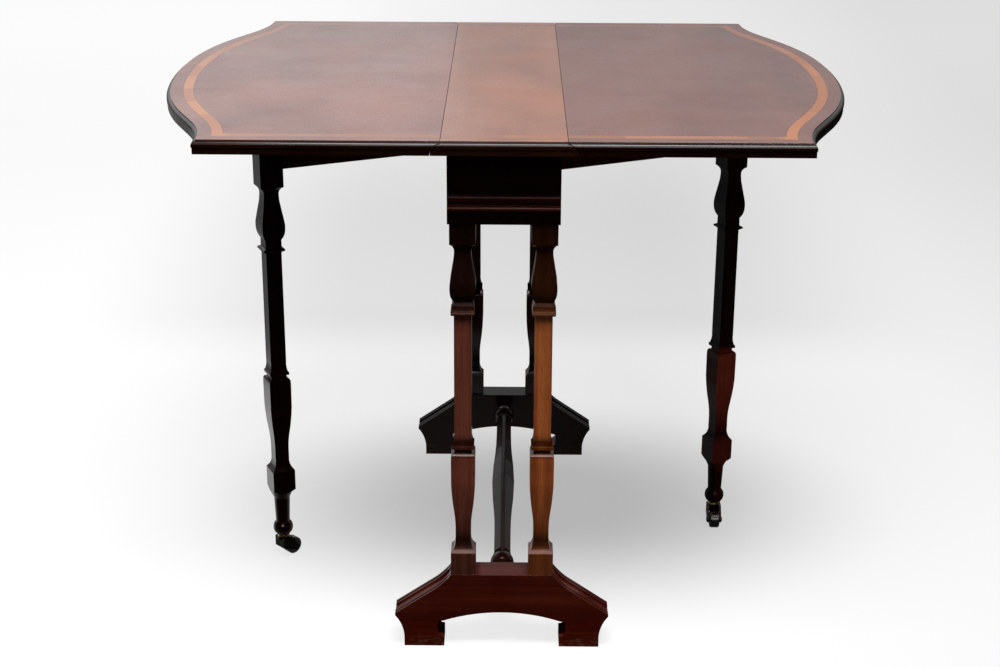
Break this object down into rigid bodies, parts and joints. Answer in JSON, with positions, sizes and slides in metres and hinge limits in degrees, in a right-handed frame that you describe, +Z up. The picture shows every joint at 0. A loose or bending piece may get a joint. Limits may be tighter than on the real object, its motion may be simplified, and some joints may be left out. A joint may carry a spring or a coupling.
{
  "type": "sutherland table",
  "caption": "Narrow drop-leaf table with shaped leaves, inlaid banding, square-turned end supports, a faceted stretcher and swing-out gate legs on castors.",
  "frame": {"origin": "on the floor, under the middle of the open top", "axes": "+X across the table from leaf to leaf, +Y along the rule joints, +Z up"},
  "size_m": [0.8988, 0.75, 0.7],
  "materials": {
    "mahogany_top": "french polished, glossy",
    "mahogany": "french polished, glossy",
    "mahogany_inside": "dull, waxed",
    "satinwood": "french polished, glossy",
    "pine": "bare, darkened",
    "iron": "dull dark iron",
    "brass": "aged, satin",
    "castor_wheel": "brown glazed ceramic"
  },
  "bodies": {
    "frame": {"centre_board": "mahogany_top", "centre_banding": "satinwood", "glue_blocks": "pine", "frieze_front": "mahogany", "frieze_back": "mahogany", "foot_front": "mahogany", "foot_back": "mahogany", "stretcher": "mahogany", "post_front_left": "mahogany", "post_front_right": "mahogany", "post_back_left": "mahogany", "post_back_right": "mahogany", "hinge_plates_fixed_left": "iron", "hinge_pins_left": "iron", "hinge_screws_fixed_left": "iron", "side_rail_left": "mahogany_inside", "gate_hanger_left": "mahogany_inside", "hanger_screws_left": "iron", "gate_pin_left": "iron", "hinge_plates_fixed_right": "iron", "hinge_pins_right": "iron", "hinge_screws_fixed_right": "iron", "side_rail_right": "mahogany_inside", "gate_hanger_right": "mahogany_inside", "hanger_screws_right": "iron", "gate_pin_right": "iron"},
    "leaf_left_body": {"leaf_left": "mahogany_top", "leaf_banding_left": "satinwood", "hinge_plates_leaf_left": "iron", "hinge_screws_leaf_left": "iron", "leaf_stop_left": "mahogany_inside"},
    "gate_left_body": {"gate_rail_left": "mahogany", "gate_leg_left": "mahogany", "castor_cup_left": "brass", "castor_pin_left": "iron"},
    "castor_left_body": {"castor_fork_left": "iron", "castor_axle_left": "iron"},
    "wheel_left_body": {"castor_wheel_left": "castor_wheel"},
    "leaf_right_body": {"leaf_right": "mahogany_top", "leaf_banding_right": "satinwood", "hinge_plates_leaf_right": "iron", "hinge_screws_leaf_right": "iron", "leaf_stop_right": "mahogany_inside"},
    "gate_right_body": {"gate_rail_right": "mahogany", "gate_leg_right": "mahogany", "castor_cup_right": "brass", "castor_pin_right": "iron"},
    "castor_right_body": {"castor_fork_right": "iron", "castor_axle_right": "iron"},
    "wheel_right_body": {"castor_wheel_right": "castor_wheel"}
  },
  "joints": [
    {"name": "leaf_left_lift", "type": "hinge", "parent": "frame", "child": "leaf_left_body", "pos_m": [-0.0747, 0, 0.685], "axis": [0, 1, 0], "range_deg": [0, 1]},
    {"name": "gate_left_swing", "type": "hinge", "parent": "frame", "child": "gate_left_body", "pos_m": [-0.0468, 0.05, 0.634], "axis": [0, 0, 1], "range_deg": [0, 65]},
    {"name": "castor_left_swivel", "type": "hinge", "parent": "gate_left_body", "child": "castor_left_body", "pos_m": [-0.3192, -0.07096, 0.03], "axis": [0, 0, 1], "continuous": true},
    {"name": "wheel_left_spin", "type": "hinge", "parent": "castor_left_body", "child": "wheel_left_body", "pos_m": [-0.3086, -0.06035, 0.0125], "axis": [-0.7071, 0.7071, 0], "continuous": true},
    {"name": "leaf_right_lift", "type": "hinge", "parent": "frame", "child": "leaf_right_body", "pos_m": [0.0747, 0, 0.685], "axis": [0, -1, 0], "range_deg": [0, 1]},
    {"name": "gate_right_swing", "type": "hinge", "parent": "frame", "child": "gate_right_body", "pos_m": [0.0468, -0.075, 0.634], "axis": [0, 0, 1], "range_deg": [0, 65]},
    {"name": "castor_right_swivel", "type": "hinge", "parent": "gate_right_body", "child": "castor_right_body", "pos_m": [0.3192, 0.04596, 0.03], "axis": [0, 0, 1], "continuous": true},
    {"name": "wheel_right_spin", "type": "hinge", "parent": "castor_right_body", "child": "wheel_right_body", "pos_m": [0.3192, 0.03096, 0.0125], "axis": [1, 0, 0], "continuous": true}
  ]
}
